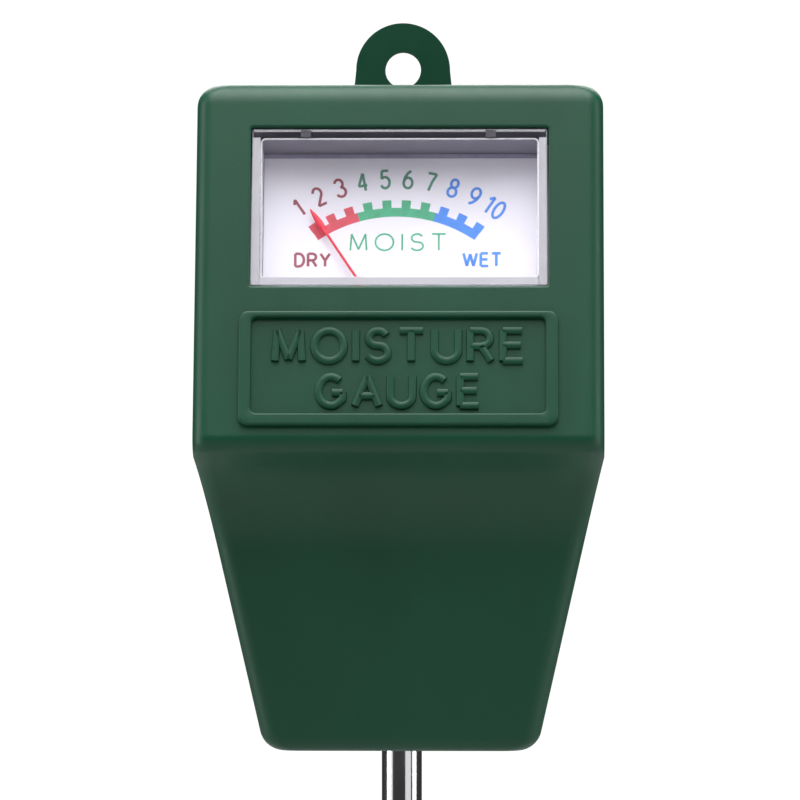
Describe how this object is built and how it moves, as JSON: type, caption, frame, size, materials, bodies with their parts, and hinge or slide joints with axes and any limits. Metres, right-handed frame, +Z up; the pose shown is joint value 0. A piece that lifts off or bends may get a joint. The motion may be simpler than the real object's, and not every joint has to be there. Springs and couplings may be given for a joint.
{
  "type": "soil moisture meter",
  "caption": "Analogue soil moisture meter: tapered plastic head with a sloping dial window and hanging tab, moving pointer, on one round metal probe.",
  "frame": {"origin": "centre of the probe where it leaves the bottom of the head", "axes": "+Z up along the probe towards the head, -Y towards the reader of the dial, +X to that reader's right"},
  "size_m": [0.06, 0.0363, 0.2891],
  "materials": {
    "green_plastic": "satin moulded",
    "clear_plastic": "clear moulded",
    "steel_hardware": "zinc plated",
    "grey_plastic": "moulded",
    "dial_white": "smooth white with printed scale",
    "soft_iron": "turned",
    "magnet": "ground",
    "brass_parts": "satin",
    "jewel": "polished",
    "resistor_body": "lacquered",
    "red_lead": "extruded",
    "black_lead": "extruded",
    "bright_metal": "bright plated",
    "liner_plastic": "extruded",
    "copper": "drawn copper",
    "black_plastic": "moulded",
    "dull_metal": "turned zinc",
    "red_pointer": "gloss paint",
    "former_metal": "rolled"
  },
  "bodies": {
    "head": {"front_housing": "green_plastic", "rear_cover": "green_plastic", "rear_screws": "steel_hardware", "meter_cover": "clear_plastic", "meter_base": "grey_plastic", "dial_plate": "dial_white", "dial_screws": "steel_hardware", "module_screws": "steel_hardware", "yoke_ring": "soft_iron", "core_magnet": "magnet", "core_spacers": "brass_parts", "front_bridge": "brass_parts", "rear_bridge": "brass_parts", "bridge_screws": "steel_hardware", "front_jewel_screw": "brass_parts", "rear_jewel_screw": "brass_parts", "jewel_locknuts": "brass_parts", "front_jewel": "jewel", "rear_jewel": "jewel", "rear_spring_anchor": "brass_parts", "pointer_stops": "steel_hardware", "terminals": "brass_parts", "calibration_resistor": "resistor_body", "tube_lead": "red_lead", "tip_lead": "black_lead", "probe_tube": "bright_metal", "probe_liner": "liner_plastic", "inner_conductor": "copper", "insulator_collar": "black_plastic", "probe_tip": "dull_metal", "retaining_ring": "steel_hardware", "tube_terminal": "brass_parts", "tip_terminal": "brass_parts"},
    "pointer_coil": {"pointer": "red_pointer", "coil_former": "former_metal", "coil_winding": "copper", "front_pivot": "steel_hardware", "rear_pivot": "steel_hardware", "balance_weights": "steel_hardware", "front_hairspring": "brass_parts", "rear_hairspring": "brass_parts"},
    "zero_lever": {"zero_lever": "brass_parts"}
  },
  "joints": [
    {"name": "pointer_swing", "type": "hinge", "parent": "head", "child": "pointer_coil", "pos_m": [0, -0.01306, 0.06021], "axis": [0, 0.9681, -0.2504], "range_deg": [-4, 70], "stiffness_Nm_per_rad": 0.00002, "deforming": ["front_hairspring", "rear_hairspring"]},
    {"name": "zero_set", "type": "hinge", "parent": "head", "child": "zero_lever", "pos_m": [0, -0.01306, 0.06021], "axis": [0, 0.9681, -0.2504], "range_deg": [-8, 8]}
  ]
}
